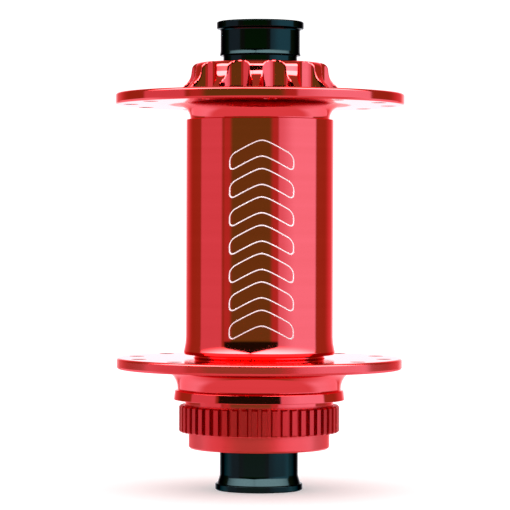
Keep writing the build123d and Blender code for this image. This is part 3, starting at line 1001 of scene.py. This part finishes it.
right_cap = lathe(
    "right_cap",
    outline(
        (BORE_RADIUS, tube_end),
        (BORE_RADIUS, half_width - BORE_CHAMFER),
        (BORE_RADIUS + BORE_CHAMFER, half_width),
        (right_rim - RIM_CHAMFER, half_width, RIM_SOFTNESS),
        (right_rim, half_width - RIM_CHAMFER, RIM_SOFTNESS),
        (right_rim, right_rim_foot + RIM_CHAMFER, RIM_SOFTNESS),
        (right_rim - RIM_CHAMFER, right_rim_foot, RIM_SOFTNESS),
        (right_body, right_rim_foot, RIGHT_RIM_FILLET),
        (right_body, skirt_foot + FLARE_HEIGHT, SKIRT_FLARE_ROUND),
        (right_body + SKIRT_FLARE, skirt_foot + SKIRT_EDGE, SKIRT_EDGE_ROUND),
        (right_body, skirt_foot),
        (right_body - CAP_NECK_STEP, skirt_foot, CAP_NECK_FILLET),
        (right_body - CAP_NECK_STEP, right_cap_foot),
        (stub_radius, right_cap_foot),
        (stub_radius, ring_middle - RING_GROOVE_HALF),
        (ring_groove, ring_middle - RING_GROOVE_HALF),
        (ring_groove, ring_middle + RING_GROOVE_HALF),
        (stub_radius, ring_middle + RING_GROOVE_HALF),
        (stub_radius, tube_end),
        hold=CAP_HOLD,
    ),
    cap_angles,
)
left_cap = lathe(
    "left_cap",
    outline(
        (BORE_RADIUS, -tube_end),
        (BORE_RADIUS, BORE_CHAMFER - half_width),
        (BORE_RADIUS + BORE_CHAMFER, -half_width),
        (left_rim - RIM_CHAMFER, -half_width, RIM_SOFTNESS),
        (left_rim, RIM_CHAMFER - half_width, RIM_SOFTNESS),
        (left_rim, left_rim_top - RIM_CHAMFER, RIM_SOFTNESS),
        (left_rim - RIM_CHAMFER, left_rim_top, RIM_SOFTNESS),
        (left_body + CONE_STEP, left_rim_top),
        (left_body, left_rim_top + CONE_HEIGHT, CONE_ROUND),
        (left_body, left_cap_top),
        (stub_radius, left_cap_top),
        (stub_radius, RING_GROOVE_HALF - ring_middle),
        (ring_groove, RING_GROOVE_HALF - ring_middle),
        (ring_groove, -RING_GROOVE_HALF - ring_middle),
        (stub_radius, -RING_GROOVE_HALF - ring_middle),
        (stub_radius, -tube_end),
        hold=CAP_HOLD,
    ),
    cap_angles,
)
for cap, node in ((right_cap, "right_end_cap"), (left_cap, "left_end_cap")):
    cap.data.materials.append(black)
    sharp_by_angle(cap, CAP_SHARP_ANGLE)
    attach(cap, "axle")
    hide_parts(node)


# ---- Axle tube and spacer rings ---------------------------------------------------------
# The tube is turned from bare aluminium, with a seat for each bearing. A plain aluminium
# ring on each side passes the cap's push on to the inner race.


def bare_aluminium(start):
    """Aluminium as the lathe leaves it: pale grey, with fine rings."""
    lines = turning_lines(start, 0.2 * mm)
    return {
        "Base Color": mixed(lines, (0.58, 0.59, 0.60, 1), (0.72, 0.73, 0.74, 1)),
        "Metallic": 1.0,
        "Roughness": 0.22 + 0.16 * lines,
        "Normal": bumped(lines, 1.5e-6),
    }


def dress(nodes, material):
    """Gives carried-over nodes a new finish, in every one of their material slots."""
    for node in nodes:
        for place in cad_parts[node].material_slots:
            place.material = material


bare = finish_of("bare_aluminium", bare_aluminium)
dress(["axle_tube", "right_spacer_ring", "left_spacer_ring"], bare)


# ---- Bearings ---------------------------------------------------------------------------
# A sealed ball bearing at each end: two ground steel races, fifteen polished balls in a
# pressed cage, and a rubber-faced seal on each side that holds the grease in.


def ground_steel(start):
    """Hardened steel, ground round: bright, with very fine rings."""
    lines = turning_lines(start, 0.06 * mm)
    return {
        "Base Color": mixed(lines, (0.52, 0.53, 0.55, 1), (0.62, 0.63, 0.65, 1)),
        "Metallic": 1.0,
        "Roughness": 0.14 + 0.12 * lines,
        "Normal": bumped(lines, 0.4e-6),
    }


def polished_steel(start):
    """Lapped steel balls: near mirrors under a thin, uneven film of grease."""
    film = speckle(start, 0.9 * mm)
    return {
        "Base Color": mixed(film, (0.60, 0.60, 0.62, 1), (0.66, 0.66, 0.67, 1)),
        "Metallic": 1.0,
        "Roughness": 0.04 + 0.10 * film,
        "Normal": bumped(film, 1e-6),
    }


def pressed_strip(start):
    """Pressed steel strip: duller than the races, with a rolled grain."""
    grain = speckle(start, 0.25 * mm)
    return {
        "Base Color": mixed(grain, (0.36, 0.35, 0.33, 1), (0.48, 0.47, 0.45, 1)),
        "Metallic": 1.0,
        "Roughness": 0.30 + 0.15 * grain,
        "Normal": bumped(grain, 2e-6),
    }


def seal_rubber(start):
    """Moulded nitrile rubber: nearly black, matt and faintly mottled."""
    mottle = speckle(start, 0.35 * mm)
    return {
        "Base Color": mixed(mottle, (0.010, 0.010, 0.011, 1), (0.022, 0.022, 0.024, 1)),
        "Roughness": 0.50 + 0.20 * mottle,
        "Specular IOR Level": 0.3,
        "Normal": bumped(mottle, 6e-6),
    }


steel = finish_of("ground_steel", ground_steel)
ball_steel = finish_of("polished_steel", polished_steel)
strip = finish_of("pressed_strip", pressed_strip)
rubber = finish_of("seal_rubber", seal_rubber)
for side in ("right_bearing_", "left_bearing_"):
    dress([side + "inner_race", side + "outer_race"], steel)
    dress([side + "balls"], ball_steel)
    dress([side + "cage"], strip)
    dress([side + "upper_seal", side + "lower_seal"], rubber)


# ---- Dust seals and O-rings -------------------------------------------------------------
# A moulded rubber ring is pressed into the shell in front of each bearing. Its thin lip
# runs on the spacer ring, and ribs round its face stiffen it. An O-ring holds each cap.

SEAL_COLUMNS = 192
SEAL_SHARP_ANGLE = radians(40)
SEAL_HOLD = 0.03
SEAL_ROUND = 0.1
SEAL_FACE_ROUND = 0.15
RIB_COUNT = 3
RIB_HEIGHT = 0.12
RIB_INSET = 0.45
RIBS_MARGIN = 0.5
RIB_SHARE = 0.35  # of the step between ribs, from a rib's crest to its foot
RIB_ROUND = 0.06
RIB_FOOT_ROUND = 0.05
LIP_OVER_STUB = 1.75
SEAL_LIP_REACH = 0.8
SEAL_LIP_WIDTH = 0.5
SEAL_WAIST_DRAFT = 0.1
SEAL_WAIST_DEPTH = 0.7


def dust_seal(name, node, side):
    """One dust seal: thick rim with ribs on its outer face, thinned to a lip at the bore."""
    faces = [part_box(node)[end].z / mm for end in ((0, 1) if side > 0 else (1, 0))]
    back, front = faces[0], faces[1] - side * RIB_HEIGHT
    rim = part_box(node)[1].x / mm
    lip = stub_radius + LIP_OVER_STUB
    waist = lip + SEAL_LIP_REACH
    pitch = (rim - waist - RIBS_MARGIN) / RIB_COUNT
    corners = [
        (lip, back, SEAL_ROUND),
        (rim, back, SEAL_ROUND),
        (rim, front, SEAL_FACE_ROUND),
    ]
    for rib in range(RIB_COUNT):
        crest = rim - RIB_INSET - pitch * (rib + 0.5)
        corners.append((crest + pitch * RIB_SHARE, front, RIB_FOOT_ROUND))
        corners.append((crest, front + side * RIB_HEIGHT, RIB_ROUND))
        corners.append((crest - pitch * RIB_SHARE, front, RIB_FOOT_ROUND))
    corners.append((waist, front, SEAL_FACE_ROUND))
    corners.append((waist - SEAL_WAIST_DRAFT, back + side * SEAL_WAIST_DEPTH, SEAL_FACE_ROUND))
    corners.append((lip, back + side * SEAL_LIP_WIDTH, SEAL_ROUND))
    angles = [2 * pi * step / SEAL_COLUMNS for step in range(SEAL_COLUMNS)]
    seal = lathe(name, outline(*corners, hold=SEAL_HOLD), angles)
    seal.data.materials.append(rubber)
    sharp_by_angle(seal, SEAL_SHARP_ANGLE)
    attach(seal, "shell")
    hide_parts(node)


dust_seal("right_seal", "right_dust_seal", 1)
dust_seal("left_seal", "left_dust_seal", -1)
dress(["right_cap_o_ring", "left_cap_o_ring"], rubber)


# ---- Sizes, and the finish --------------------------------------------------------------
# The box of the CAD model and that of the finished one are put side by side in a list.

boxes = [[list(corner) for corner in box] for box in (cad_box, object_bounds())]
